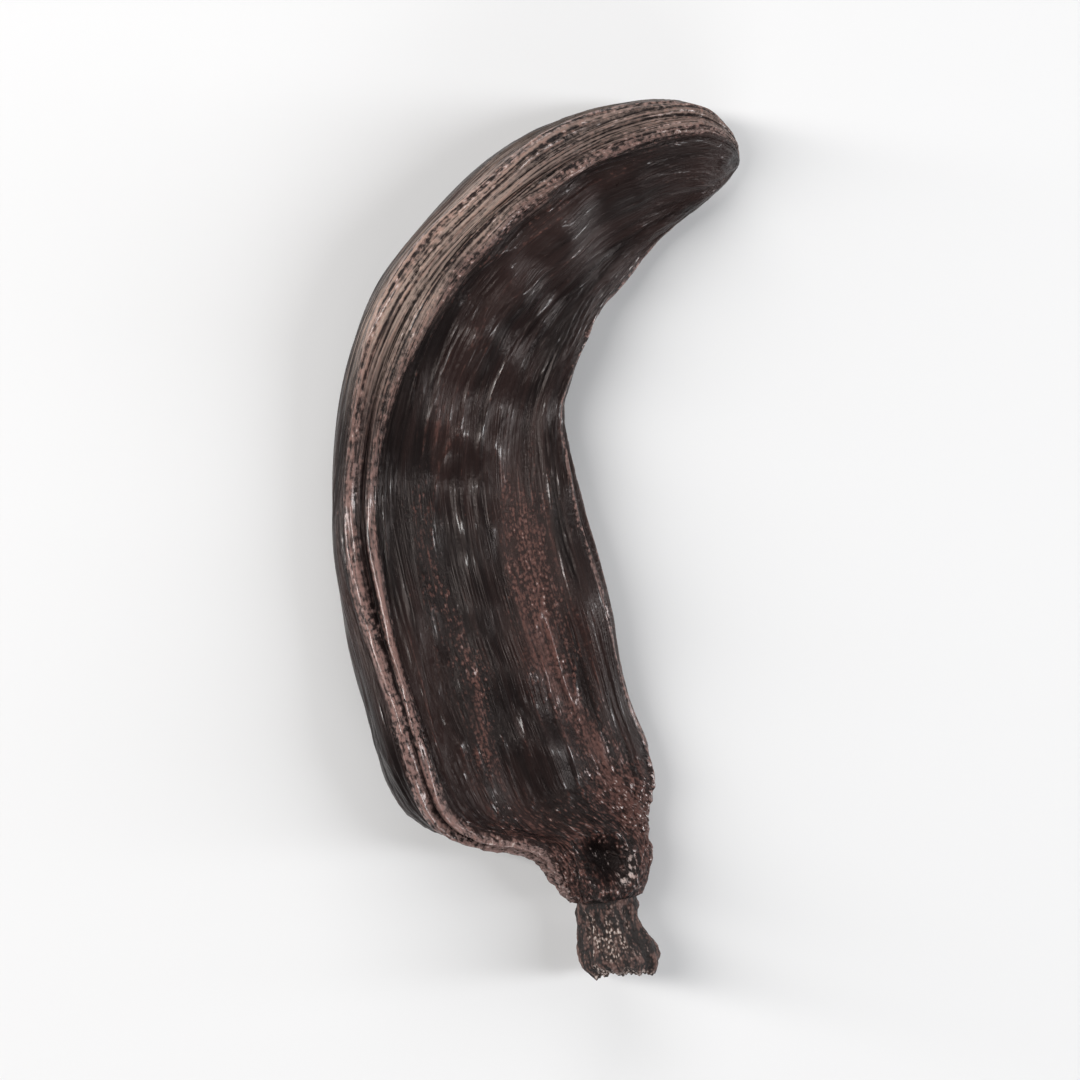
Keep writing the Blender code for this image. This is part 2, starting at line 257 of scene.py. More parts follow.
OUTER_RIDGE = 0.9
OUTER_RIDGE_FROM_SEAM = ((0.0, 0.9), (0.3, 1.05), (0.5, 1.6), (0.68, 3.0), (0.85, 2.9), (1.0, 1.1))
OUTER_GROOVE = 0.65
OUTER_GROOVE_SHARE = 0.27
OUTER_RIDGE_HALF_WIDTH = 0.92
INNER_RIDGE = 0.35
INNER_RIDGE_FROM_SEAM = 1.4
INNER_GROOVE = 0.35
INNER_RIDGE_HALF_WIDTH = 0.65
INNER_GROOVE_HALF_WIDTH = 0.7
SEAM_WANDER = 0.6
SEAM_WANDER_LENGTH = 17.0
RIDGE_CHANGE = 0.8
RIDGE_CHANGE_LENGTH = 9.0
CHANNEL = 0.85
CHANNEL_PLACE = 0.6
CHANNEL_HALF_WIDTH = 0.17
CHANNEL_WANDER = 0.08

outer, inner = from_outer / size, from_inner / size
side = np.sign(up)
change = 1 + RIDGE_CHANGE * rough(1, along / RIDGE_CHANGE_LENGTH, 0, side)
wander = SEAM_WANDER * rough(2, along / SEAM_WANDER_LENGTH, 0, 0)
middle = np.abs(outer + wander * side)
apart = through(OUTER_RIDGE_FROM_SEAM, share_along)
skin = OUTER_RIDGE * change * bump(middle - apart, OUTER_RIDGE_HALF_WIDTH)
skin += INNER_RIDGE * change * bump(inner - INNER_RIDGE_FROM_SEAM, INNER_RIDGE_HALF_WIDTH)
skin -= OUTER_GROOVE * bump(middle, OUTER_GROOVE_SHARE * apart)
skin -= INNER_GROOVE * bump(inner, INNER_GROOVE_HALF_WIDTH)
wander = CHANNEL_WANDER * rough(3, along / SEAM_WANDER_LENGTH, np.sign(across), side)
skin -= CHANNEL * bump(np.abs(across) / half_width - CHANNEL_PLACE - wander, CHANNEL_HALF_WIDTH)

THREAD = 0.26
THREAD_SPACING = 0.8
THREAD_REACH = (4.5, 8.0)
THREAD_WANDER = 1.0
THREAD_WANDER_WIDTH = 6.0
THREAD_LENGTH = 11.0
THREAD_BREADTH = 1.1
THREAD_COMES = (-0.28, 0.22)


def threads(field, from_seam):
    """Fine parallel lines beside a seam, cut in between, from 0 on a line to -1 between two."""
    drift = THREAD_WANDER * rough(field, along / SEAM_WANDER_LENGTH, from_seam / THREAD_WANDER_WIDTH, side)
    lines = np.cos(2 * np.pi * (from_seam + drift) / THREAD_SPACING) / 2 - 0.5
    comes = ramp(rough(field + 1, along / THREAD_LENGTH, from_seam / THREAD_BREADTH, side), *THREAD_COMES)
    return lines * comes * (1 - ramp(from_seam, *THREAD_REACH))


fine = THREAD * (threads(8, outer) + threads(10, inner))

# The faces between the seams. Seeds swell them in a row, and as the pod dried the skin sank between the
# seeds into slanting folds, then into long sharp creases, and last into a close net of fine wrinkles.
SEED_COUNT = 9
SEED_FIRST = 0.19
SEED_LAST = 0.86
SEED_RISE = 1.25
SEED_HALF_LENGTH = 3.4
SEED_HALF_WIDTH = 5.8
SEED_LEAN = 0.35
SEED_ASTRAY = 1.3
SEED_UNLIKE = 0.3
FACE_SHARE = (0.5, 0.8)

on_face = 1 - ramp(np.abs(across) / half_width, *FACE_SHARE)
draw = random.Random(7)
for u in np.linspace(SEED_FIRST, SEED_LAST, SEED_COUNT):
    seed_at = u * POD_LENGTH + draw.uniform(-SEED_ASTRAY, SEED_ASTRAY)
    aside = draw.uniform(-SEED_ASTRAY, SEED_ASTRAY)
    height = SEED_RISE * draw.uniform(1 - SEED_UNLIKE, 1 + SEED_UNLIKE)
    height *= min(1.0, through(HALF_WIDTHS, u) / FULL_HALF_WIDTH)
    unlike = draw.uniform(-SEED_UNLIKE, SEED_UNLIKE)
    lengthways = (along - seed_at - SEED_LEAN * (across - aside)) / SEED_HALF_LENGTH
    sideways = (across - aside) / SEED_HALF_WIDTH
    skin += on_face * height * (1 + unlike * side) * np.exp(-(lengthways**2) - sideways**2)

FOLD = 1.0
FOLD_LENGTH = 19.0
FOLD_WIDTH = 4.6
FOLD_SLANT = 0.22
EDGE_FOLD_SHARE = 0.35
LUMP = 0.9
LUMP_SIZE = 13.0
SKIN_DEPTH = 9.0
CALM_BASE = 0.08
CALM_TIP = 0.93
CALM_SHARE = 0.3

slanted = across + FOLD_SLANT * along
folds = rough(4, along / FOLD_LENGTH, slanted / FOLD_WIDTH, up / SKIN_DEPTH)
skin += FOLD * folds * (EDGE_FOLD_SHARE + (1 - EDGE_FOLD_SHARE) * on_face)
skin += LUMP * rough(5, along / LUMP_SIZE, across / LUMP_SIZE, up / SKIN_DEPTH)
calm = ramp(share_along, 0.0, CALM_BASE) * (1 - ramp(share_along, CALM_TIP, 1.0))
skin = skin * size * (CALM_SHARE + (1 - CALM_SHARE) * calm)

CREASE = 0.36
CREASE_LENGTH = 26.0
CREASE_WIDTH = 3.1
CREASE_SHARPNESS = 0.07
CREASE_PATCH = (24.0, 7.0, 9.0)
CREASE_COMES = (-0.2, 0.25)
WRINKLE = 0.15
WRINKLE_LENGTH = 12.0
WRINKLE_WIDTH = 1.3
WRINKLE_SHARPNESS = 0.11
WRINKLE_PATCH = (16.0, 6.0, 6.0)
WRINKLE_COMES = (-0.35, 0.2)
NET = 0.07
NET_LENGTH = 3.4
NET_WIDTH = 1.1
NET_SHARPNESS = 0.13
NET_PATCH = (10.0, 7.0, 6.0)
NET_COMES = (-0.3, 0.3)
GRAIN = 0.08
GRAIN_LENGTH = 9.0
GRAIN_WIDTH = 0.62
GRAIN_TOP = 0.5
FINE_SLANT = 0.08
CALM_RIM = 0.6
FINE_AT_ENDS = 0.35

aslant = across + FINE_SLANT * along


def crests(field, height, sharpness, length, width, patch, comes):
    """Thin raised lines that come in patches of the skin: 0 on a line, minus the height beside it."""
    where = ramp(rough(field, along / patch[0], aslant / patch[1], up / patch[2]), *comes)
    found = rough(field + 1, along / length, aslant / width, up / width)
    return height * where * (bump(found, sharpness) - 1)


wrinkled = crests(13, CREASE, CREASE_SHARPNESS, CREASE_LENGTH, CREASE_WIDTH, CREASE_PATCH, CREASE_COMES)
wrinkled += crests(
    15, WRINKLE, WRINKLE_SHARPNESS, WRINKLE_LENGTH, WRINKLE_WIDTH, WRINKLE_PATCH, WRINKLE_COMES
)
wrinkled += crests(17, NET, NET_SHARPNESS, NET_LENGTH, NET_WIDTH, NET_PATCH, NET_COMES)
fine += wrinkled * (1 - CALM_RIM * (1 - on_face))
fine += GRAIN * (rough(19, along / GRAIN_LENGTH, aslant / GRAIN_WIDTH, up / GRAIN_WIDTH) - GRAIN_TOP)
fine *= FINE_AT_ENDS + (1 - FINE_AT_ENDS) * size

# The knob where the stalk joined. It is grainy, and wrinkled round a deep round hollow with a raised lip.
# Its end is the collar of the socket that the stalk grows out of.
HOLLOW_ALONG = 4.8
HOLLOW_ACROSS = 0.1
HOLLOW_RADIUS = 2.8
HOLLOW_DEPTH = 1.8
HOLLOW_LIP = 0.6
HOLLOW_LIP_PLACE = 1.35
HOLLOW_LIP_HALF_WIDTH = 0.35
HOLLOW_LINES = 0.16
HOLLOW_LINES_PLACE = 1.3
HOLLOW_LINES_HALF_WIDTH = 0.8
HOLLOW_LINES_TOP = 0.4
HOLLOW_LINES_CLOSENESS = 6.5
HOLLOW_LINES_LENGTH = 1.5
HOLLOW_HEART = 1.3
HOLLOW_HEART_RADIUS = 0.8
KNOB_ENDS = (0.07, 0.17)
KNOB_GRAIN = 0.26
KNOB_GRAIN_SIZE = 0.75
KNOB_GRAIN_TOP = 0.3

from_hollow = np.hypot(along - HOLLOW_ALONG, across - HOLLOW_ACROSS) / HOLLOW_RADIUS
round_hollow = np.arctan2(across - HOLLOW_ACROSS, along - HOLLOW_ALONG)
dip = HOLLOW_DEPTH * bump(from_hollow, 1.0)
dip -= HOLLOW_LIP * bump(from_hollow - HOLLOW_LIP_PLACE, HOLLOW_LIP_HALF_WIDTH)
on_top = ramp(up, 0.0, HOLLOW_RADIUS)
skin -= dip * on_top
rays = rough(
    20,
    np.cos(round_hollow) * HOLLOW_LINES_CLOSENESS,
    np.sin(round_hollow) * HOLLOW_LINES_CLOSENESS,
    from_hollow / HOLLOW_LINES_LENGTH,
)
lined = bump(from_hollow - HOLLOW_LINES_PLACE, HOLLOW_LINES_HALF_WIDTH)
fine += HOLLOW_LINES * lined * on_top * (rays - HOLLOW_LINES_TOP)
fine -= HOLLOW_HEART * np.exp(-((from_hollow / HOLLOW_HEART_RADIUS) ** 4)) * on_top
on_knob = 1 - ramp(share_along, *KNOB_ENDS)
grains = rough(31, along / KNOB_GRAIN_SIZE, across / KNOB_GRAIN_SIZE, up / KNOB_GRAIN_SIZE)
fine += KNOB_GRAIN * on_knob * (grains - KNOB_GRAIN_TOP)

# The whole skin, one closed body, with its relief on it: it is bent along the pod's middle line, twisted, and
# laid on the table, where it is pressed flat at the spots that it rests on. At the base it turns in and lines
# the socket of the stalk.
COLLAR_RADIUS_INSIDE = 3.9
SOCKET_DEPTH = 2.0


def outward(points):
    """The unit normals of a grid of points that closes round its second direction."""
    lengthways = np.gradient(points, axis=0)
    round_it = np.roll(points, -1, axis=1) - np.roll(points, 1, axis=1)
    normal = np.cross(round_it, lengthways)
    return normal / np.linalg.norm(normal, axis=2, keepdims=True)


def lift(places, roll):
    """Height of the middle line, which puts the lower of the two seams at the gap above the table."""
    heights = []
    for u, tilt in zip(places, roll):
        section_across, section_up, _ = outline(u)
        height = (section_across + through(SIDEWAYS, u)) * np.sin(tilt) + section_up * np.cos(tilt)
        outer_low = height[section_across >= 0].min()
        inner_low = height[section_across <= 0].min()
        lowest = -SEAM_CHANGE * np.logaddexp(-outer_low / SEAM_CHANGE, -inner_low / SEAM_CHANGE)
        heights.append(through(GAP, u) - lowest)
    return np.array(heights)


def section_frames(places):
    """For each place: the middle line's point and the directions along, across and through the thickness."""
    steps = np.linspace(0, 1, LINE_STEPS)
    heading = np.radians(through(HEADINGS, steps))
    step = POD_LENGTH / (LINE_STEPS - 1)
    x = np.interp(places, steps, np.cumsum(-np.sin(heading)) * step)
    y = np.interp(places, steps, np.cumsum(np.cos(heading)) * step)
    heading = np.interp(places, steps, heading)
    roll = np.radians(through(ROLL, places))
    zero = np.zeros(len(places))
    ahead = np.stack([-np.sin(heading), np.cos(heading), zero], axis=1)
    level = np.stack([-np.cos(heading), -np.sin(heading), zero], axis=1)
    above = np.array([0.0, 0.0, 1.0])
    c, s = np.cos(roll)[:, None], np.sin(roll)[:, None]
    at = np.stack([x, y, lift(places, roll)], axis=1)
    return at, ahead, level * c + above * s, above * c - level * s


def bent(points, places):
    """The straight grid of points, bent along the middle line and laid on the table."""
    at, ahead, aside, through_it = section_frames(places)
    forward = points[..., 0] - (places * POD_LENGTH)[:, None]
    sideways = points[..., 1] + through(SIDEWAYS, places)[:, None]
    laid = (
        at[:, None]
        + forward[..., None] * ahead[:, None]
        + sideways[..., None] * aside[:, None]
        + points[..., 2:] * through_it[:, None]
    )
    laid[..., 2] = np.maximum(laid[..., 2], 0.0)
    return laid


def mesh_of(name, rings):
    """A closed mesh over rings of points in millimetres, from the inside out, each end closed by a fan."""
    count = len(rings[0])
    points = np.concatenate([*rings, [rings[0].mean(axis=0)], [rings[-1].mean(axis=0)]]) * MM
    faces = []
    for r in range(len(rings) - 1):
        for i in range(count):
            j = (i + 1) % count
            faces.append((r * count + i, r * count + j, (r + 1) * count + j, (r + 1) * count + i))
    last, tips = (len(rings) - 1) * count, len(rings) * count
    for i in range(count):
        j = (i + 1) % count
        faces.append((j, i, tips))
        faces.append((last + i, last + j, tips + 1))
    mesh = bpy.data.meshes.new(name)
    mesh.from_pydata(points.tolist(), [], faces)
    mesh.validate()
    mesh.shade_smooth()
    return mesh


relief = skin + fine
rings = bent(straight + relief[..., None] * outward(straight), places)
base_at, base_ahead, base_aside, base_through = (v[0] for v in section_frames(np.array([0.0])))
turn = np.arange(AROUND) * 2 * np.pi / AROUND
circle = np.cos(turn)[:, None] * base_aside + np.sin(turn)[:, None] * base_through
mouth = base_at + circle * COLLAR_RADIUS_INSIDE
socket = [mouth + base_ahead * SOCKET_DEPTH, mouth]
pod_low, pod_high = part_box("pod")
box_middle = (rings.min(axis=(0, 1)) + rings.max(axis=(0, 1))) / 2
shift = np.array([(pod_low.x + pod_high.x) / 2 / MM, (pod_low.y + pod_high.y) / 2 / MM, 0.0])
shift[:2] -= box_middle[:2]
all_rings = [ring + shift for ring in [*socket, *rings]]

pod_mesh = mesh_of("carob_skin", all_rings)

# The places where the skin looks different, noted on the mesh for its finish: what stands up from the skin
# round it, the ridges, the knob with the painted shade in its pit and a painted highlight along one side of
# its lip, and the outside of the hook, where the old skin has split along the grain into a ragged band of
# brown and tan fibres.
RAISED_FULL = 0.16
RAISED_ROUND = (3, 4)
OUTER_LINE_HALF_WIDTH = 1.15
INNER_LINE_HALF_WIDTH = 0.5
INNER_LINE = 0.8
# The hollow's pit is painted near-black as shade, and one side of its lip pale as a highlight.
PIT_SHADE_RADIUS = 0.85
LIP_HIGHLIGHT_PLACE = 1.1
LIP_HIGHLIGHT_HALF_WIDTH = 0.22
LIP_HIGHLIGHT_TURN = 0.7 * np.pi
LIP_HIGHLIGHT_ENDS = (0.2, 0.9)
FRAY = 1.4
FRAY_LENGTH = 5.0
FRAY_WIDTH = 1.2
HOOK_STARTS = (0.4, 0.6)
HOOK_PAST_RIDGE = (-0.2, 2.2)
TAN_OUTER_EDGE = (-8.0, -4.5)
TAN_INNER_EDGE = (0.8, 3.4)
TAN_STARTS = (0.53, 0.64)
TAN_FADES = (0.7, 0.84)
TAN_LOST = 0.65


def blurred(grid, rows, columns):
    """A grid that closes round its second direction, averaged over so many neighbours each way."""
    wide = sum(np.roll(grid, k, axis=1) for k in range(-columns, columns + 1)) / (2 * columns + 1)
    padded = np.pad(wide, ((rows, rows), (0, 0)), mode="edge")
    return sum(padded[k : k + len(grid)] for k in range(2 * rows + 1)) / (2 * rows + 1)


def note(mesh, name, values, kind="FLOAT"):
    """Writes a value or a vector for each point of a mesh, which its finish reads."""
    attribute = mesh.attributes.new(name, kind, "POINT")
    field = "value" if kind == "FLOAT" else "vector"
    attribute.data.foreach_set(field, np.asarray(values, np.float32).ravel())


def for_all(grid):
    """One value for each point of the pod's mesh from the grid of its skin: the socket takes its mouth's."""
    flat = grid.reshape(STATIONS * AROUND, -1)
    first = np.concatenate([flat[:AROUND], flat[:AROUND]])
    ends = np.stack([flat[0], flat[-1]])
    return np.concatenate([first, flat, ends])


close = blurred(relief, *RAISED_ROUND)
note(pod_mesh, "straight", for_all(straight), "FLOAT_VECTOR")
note(pod_mesh, "raised", for_all(np.clip((relief - close) / RAISED_FULL, -1, 1)))
note(pod_mesh, "knob", for_all(on_knob))
outer_line = bump(middle - apart, OUTER_LINE_HALF_WIDTH)
inner_line = bump(inner - INNER_RIDGE_FROM_SEAM, INNER_LINE_HALF_WIDTH)
note(pod_mesh, "ridge", for_all(np.maximum(outer_line, INNER_LINE * inner_line)))
# Painted shade: the pit of the knob's hollow, painted near-black.
note(pod_mesh, "pit_shade", for_all(np.exp(-((from_hollow / PIT_SHADE_RADIUS) ** 4)) * on_top))
# Painted highlight: a pale arc along one side of the hollow's lip, the side turned towards the light.
lip_highlight = bump(from_hollow - LIP_HIGHLIGHT_PLACE, LIP_HIGHLIGHT_HALF_WIDTH) * ramp(np.cos(round_hollow + LIP_HIGHLIGHT_TURN), *LIP_HIGHLIGHT_ENDS)
note(pod_mesh, "lip_highlight", for_all(lip_highlight * on_top))
inwards = outer * np.where(shares < 0.5, 1.0, -1.0)
note(pod_mesh, "beside_seam", for_all(np.stack([along, inwards, 0 * along], axis=2)), "FLOAT_VECTOR")
fray = FRAY * rough(33, along / FRAY_LENGTH, outer / FRAY_WIDTH, side)
on_band = 1 - ramp(outer + fray, *(apart + edge for edge in HOOK_PAST_RIDGE))
note(pod_mesh, "hook", for_all(ramp(share_along, *HOOK_STARTS) * on_band))
inwards = inwards + fray
outside = ramp(inwards, *TAN_OUTER_EDGE) * (1 - ramp(inwards, *TAN_INNER_EDGE))
tan_lengthways = ramp(share_along, *TAN_STARTS) * (1 - TAN_LOST * ramp(share_along, *TAN_FADES))
note(pod_mesh, "tan", for_all(tan_lengthways * outside))

# The streaks where the skin is rubbed brown: a long one beside the outer rim, one along the inner side down
# to the knob, and a faint one beside the outer rim of the hook. Each has its strength, its place across, its
# half width, and the shares of the pod's length over which it comes and over which it goes. Where those are
# off the pod, it runs to the end.
RUBBED_STREAKS = (
    (0.9, 4.0, 2.1, (0.11, 0.2), (0.4, 0.62)),
    (1.0, -7.3, 3.3, (-1.0, 0.0), (0.35, 0.55)),
    (0.6, 6.0, 2.2, (0.5, 0.75), (2.0, 3.0)),
)
SWAY = 1.5
SWAY_LENGTH = 15.0

sway = SWAY * rough(32, along / SWAY_LENGTH, 0, side)
rubbed = 0
for strength, at_across, streak_width, comes, goes in RUBBED_STREAKS:
    streak = bump(across - at_across - np.sign(at_across) * sway, streak_width)
    streak *= ramp(share_along, *comes) * (1 - ramp(share_along, *goes))
    rubbed = np.maximum(rubbed, strength * streak)
note(pod_mesh, "rubbed", for_all(rubbed))

# The pod's finish: near-black brown leather, glossy where it is smooth, and stippled reddish brown where it
# is rubbed. The ridges are pale and grainy, partly from wear and partly as a painted highlight, and the pale
# grey specks on them are partly dusty bloom and partly painted glints. The old skin on the outside of the
# hook is worn to tan fibres.
# Its patterns are so many millimetres long, wide and thick. A colour shows where a sum of weighted patterns
# and places is high, and the weights are the recipe.
NIGHT = (0.0075, 0.0052, 0.0052, 1)
UMBER = (0.021, 0.0112, 0.0102, 1)
RUSSET = (0.115, 0.055, 0.046, 1)
MAUVE = (0.235, 0.155, 0.14, 1)
RIND = (0.185, 0.127, 0.113, 1)
TAN = (0.4, 0.3, 0.25, 1)
# Pale grey: partly dusty bloom, partly painted glints and highlights.
BLOOM_AND_GLINT = (0.45, 0.39, 0.37, 1)
WARM = (1.0, 0.87, 0.83, 1)
POD_SHEEN = {"Specular IOR Level": 0.22, "Specular Tint": WARM, "Coat Roughness": 0.16, "Coat Tint": WARM}

PATCH_SIZE = (34, 6, 6)
STREAK_SIZE = (16, 1.1, 1.1)
FIBRE_SIZE = (30, 0.36, 1)
HAIRLINE_SIZE = (7, 0.2, 1)
HAIR_SIZE = (9, 0.22, 0.22)
SPECK_SIZE = (0.7, 0.4, 0.4)
CLUMP_SIZE = (6, 2.4, 2.4)
DOT_SIZE = (0.55, 0.42, 0.42)
DOTS_MIDDLE = 0.35
RELIEF_DEPTH = 0.00022


class Wire:
    """One output of a finish's nodes. Python's operators on wires and numbers make the Math nodes."""

    def __init__(self, socket):
        self.socket = socket

    def make(self, kind, settings, sockets, give=0):
        """One output of a new node in the same finish, from its settings and its sockets' values or wires."""
        tree = self.socket.id_data
        node = tree.nodes.new(kind)
        for name, value in settings.items():
            setattr(node, name, value)
        for name, value in sockets.items():
            if isinstance(value, Wire):
                tree.links.new(value.socket, node.inputs[name])
            else:
                node.inputs[name].default_value = value
        return Wire(node.outputs[give])

    def reckon(self, operation, *values):
        """A Math node on wires and numbers."""
        return self.make("ShaderNodeMath", {"operation": operation}, dict(enumerate(values)))

    def __add__(self, other):
        return self.reckon("ADD", self, other)

    def __sub__(self, other):
        return self.reckon("SUBTRACT", self, other)

    def __rsub__(self, other):
        return self.reckon("SUBTRACT", other, self)

    def __mul__(self, other):
        return self.reckon("MULTIPLY", self, other)

    __radd__ = __add__
    __rmul__ = __mul__

    def between(self, low, high):
        """0 where this is below low, 1 where it is above high, smooth between."""
        settings = {"interpolation_type": "SMOOTHSTEP"}
        return self.make("ShaderNodeMapRange", settings, {0: self, 1: low, 2: high, 3: 0.0, 4: 1.0})

    def over(self, under, colour):
        """A colour laid over another where this is 1."""
        return self.make("ShaderNodeMix", {"data_type": "RGBA"}, {0: self, 6: under, 7: colour}, give=2)

    def stretched(self, sizes):
        """This vector, divided by a size for each direction."""
        factors = tuple(1 / s for s in sizes)
        return self.make("ShaderNodeVectorMath", {"operation": "MULTIPLY"}, {0: self, 1: factors})

    def grain(self, sizes, detail=2.0, roughness=0.55):
        """Noise on this vector, its patches about as large as the three sizes. 0.5 is its middle."""
        sockets = {"Vector": self.stretched(sizes), "Scale": 1.0, "Detail": detail, "Roughness": roughness}
        return self.make("ShaderNodeTexNoise", {}, sockets)

    def granules(self, sizes, core=0.1, rim=0.7):
        """Round grains about as large as the three sizes: 1 in the core of each, 0 beyond its rim."""
        sockets = {"Vector": self.stretched(sizes), "Scale": 1.0}
        return 1 - self.make("ShaderNodeTexVoronoi", {}, sockets).between(core, rim)

    def attribute(self, name, give="Fac"):
        """What was written on the mesh under that name."""
        return self.make("ShaderNodeAttribute", {"attribute_name": name}, {}, give=give)

    def relief(self, height, depth):
        """The normal of a surface with this height, in shares of a depth in metres."""
        return self.make("ShaderNodeBump", {}, {"Strength": 1.0, "Distance": depth, "Height": height})


def finish(name, constants):
    """A new material, as its shader node and a wire to start from. Constants go straight on the shader."""
    material = bpy.data.materials.new(name)
    material.use_nodes = True
    shader = material.node_tree.nodes["Principled BSDF"]
    for socket, value in constants.items():
        shader.inputs[socket].default_value = value
    return material, shader, Wire(shader.outputs["BSDF"])


def feed(shader, **wires):
    """Joins wires to the shader's sockets, named with underscores for spaces."""
    for name, wire in wires.items():
        socket = shader.inputs[name.replace("_", " ").title()]
        shader.id_data.links.new(wire.socket, socket)


pod_finish, shader, wire = finish("carob_leather", POD_SHEEN)
places_on_pod = wire.attribute("straight", give="Vector")
raised = wire.attribute("raised")
ridge = wire.attribute("ridge")
rubbed = wire.attribute("rubbed")
knob = wire.attribute("knob")
hook = wire.attribute("hook")
tan = wire.attribute("tan")
pit_shade = wire.attribute("pit_shade")
lip_highlight = wire.attribute("lip_highlight")

patches = places_on_pod.grain(PATCH_SIZE, detail=3)
streaks = places_on_pod.grain(STREAK_SIZE, detail=3)
beside_seam = wire.attribute("beside_seam", give="Vector")
fibres = beside_seam.grain(FIBRE_SIZE)
hairlines = beside_seam.grain(HAIRLINE_SIZE)
hairs = places_on_pod.grain(HAIR_SIZE)
specks = places_on_pod.grain(SPECK_SIZE, detail=3, roughness=0.75)
clumps = places_on_pod.grain(CLUMP_SIZE)
dots = places_on_pod.granules(DOT_SIZE) - DOTS_MIDDLE
grainy = (rubbed * 0.5 + knob * 0.7 + ridge * 0.5 + hook * 0.3 + (clumps - 0.5) * 2.0).between(-0.1, 0.9)
granules = ((specks - 0.5) * 3.4 + dots * 0.75) * (grainy * 0.85 + 0.25) + (hairs - 0.5) * 1.1
strands = (fibres - 0.5) * 4.4 + (hairlines - 0.5) * 3.4 + granules * 0.3

colour = (patches + (streaks - 0.5) * 0.5).between(0.4, 0.68).over(NIGHT, UMBER)
worn = rubbed * 0.72 + (patches - 0.5) * 1.3 + (streaks - 0.5) * 0.9 + raised * 0.2 + knob * 0.5
colour = (worn + granules + strands * 0.15).between(0.36, 1.3).over(colour, RUSSET)
# Pale mauve along the ridges: partly worn skin, partly a painted highlight that draws lines of light along
# them.
ridge_wear_and_highlight = ridge * (1.2 - hook * 0.3) + worn * 0.35 + granules * 0.75 + strands * 0.2
colour = ridge_wear_and_highlight.between(0.6, 1.4).over(colour, MAUVE)
brown_fibres = (strands * 0.8 + granules * 0.4 + raised * 0.2 + 0.1).between(-0.5, 1.1)
colour = (hook * brown_fibres).over(colour, RIND)
tan_fibres = (strands * 0.75 + granules * 0.4 + 0.3).between(-0.4, 1.1)
colour = (tan * tan_fibres).over(colour, TAN)
# Pale grey specks: partly dusty bloom, partly painted glints on the grainy skin.
colour = (worn * 0.3 + ridge * 0.25 + tan * 0.15 + granules).between(0.9, 1.3).over(colour, BLOOM_AND_GLINT)
# Painted shade in the knob's hollow: its pit is painted near-black.
colour = (pit_shade * 0.92).over(colour, NIGHT)
# Painted highlight along one side of the hollow's lip, with grainy pale specks.
colour = (lip_highlight * 0.9 + pit_shade * 0.25 + granules * 0.9).between(0.6, 1.4).over(colour, BLOOM_AND_GLINT)

gloss = 0.33 + (streaks - 0.5) * 0.3 + (specks - 0.5) * 0.2 + knob * 0.1 + rubbed * 0.1
polished = granules * 0.8 + raised * 0.45 + ridge * 0.25 + hook * 0.1 + (hairs - 0.5) * 1.5
wax = polished.between(0.1, 0.8) * 0.85
stipple = 0.12 + rubbed * 0.3 + knob * 0.4 + ridge * 0.25 + (patches - 0.4) * 0.4
height = granules * stipple + (streaks - 0.5) * 0.25 + (hairs - 0.5) * 0.4 + hook * strands * 0.22
feed(shader, base_color=colour, roughness=gloss, coat_weight=wax, normal=wire.relief(height, RELIEF_DEPTH))


def place(name, mesh, material, node):
    """Puts a piece in the scene, riding with the solids, in place of its solid."""
    piece = bpy.data.objects.new(name, mesh)
    mesh.materials.append(material)
    bpy.context.scene.collection.objects.link(piece)
    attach(piece, "root")
    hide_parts(node)


place("carob_skin", pod_mesh, pod_finish, "pod")

# The stub of the stalk. It is a short woody stem with cracked, flaky bark, rooted in the pod's socket, that
# widens to where it was torn off. A strip of bark came away with it along the top and left pale splinters.
STALK_GAP = 0.3
STALK_LENGTH = 9.0
STALK_RADII = ((0.0, 3.5), (0.2, 3.5), (0.4, 3.7), (0.7, 4.2), (0.88, 4.5), (1.0, 3.7))
STALK_BEND = 1.4
STALK_FLUTES = 7
STALK_FLUTE = 0.06
STALK_OUTSIDE = (0.12, 0.3)
STALK_SHOULDER = 0.25
STALK_SHOULDER_PLACE = 0.27
STALK_SHOULDER_HALF_WIDTH = 0.05
STALK_RINGS = 130
STALK_AROUND = 190

# The marks on its side are layers of noise: the number of its field, how close the marks lie round the stub
# and along it, and how strong they are. Those on its torn end have one closeness for both ways.
KNOTS = ((6, 1, 3, 0.2),)
TEAR = ((7, 2, 0, 0.8),)
TEAR_STARTS = (0.5, 1.0)
BARK_LINES = ((21, 7, 3, 1.0), (22, 15, 5, 0.7))
BARK_LINES_RISE = 0.16
BARK_LINES_TOP = 0.6
FLAKES = ((23, 4, 9, 1.0), (24, 9, 22, 0.5))
FLAKES_RISE = 0.2
FLAKES_TOP = 0.5
SPLINTERS = ((25, 20, 4, 1.0), (27, 24, 24, 0.5))
SPLINTERS_RISE = 0.22
SPLINTERS_TOP = 0.9
STRIP_FRAY = ((26, 3, 5, 0.8),)
STRIP_FRONT, STRIP_SIDE, STRIP_ALONG = 0.88, -0.47, 0.1
STRIP_EDGE = (0.86, 1.04)
STRIP_STARTS = (0.25, 0.5)
STRIP_START_FRAY = 0.3
STRIP_SUNK = 0.25
JAGS = ((28, 9, 0, 1.0),)
JAGS_RISE = 0.35
JAGS_TOP = 0.45
JAGS_START = (0.75, 1.0)
TORN_END = (0.93, 1.0)
END_RINGS = 40
END_FIBRES = ((29, 2.6, 1.0), (30, 6, 0.5))
END_FIBRES_RISE = 0.7
END_FIBRES_TOP = 0.35
END_FIBRES_START = (0.0, 0.12)
PITH_RADIUS = 1.6
PITH_DEPTH = 0.7

turn = np.arange(STALK_AROUND) * 2 * np.pi / STALK_AROUND
side, front = np.cos(turn), np.sin(turn)


def marks(layers, t):
    """Layers of marks round the stub, at a share t of its length."""
    return sum(k * rough(field, side * close, front * close, t * rise) for field, close, rise, k in layers)


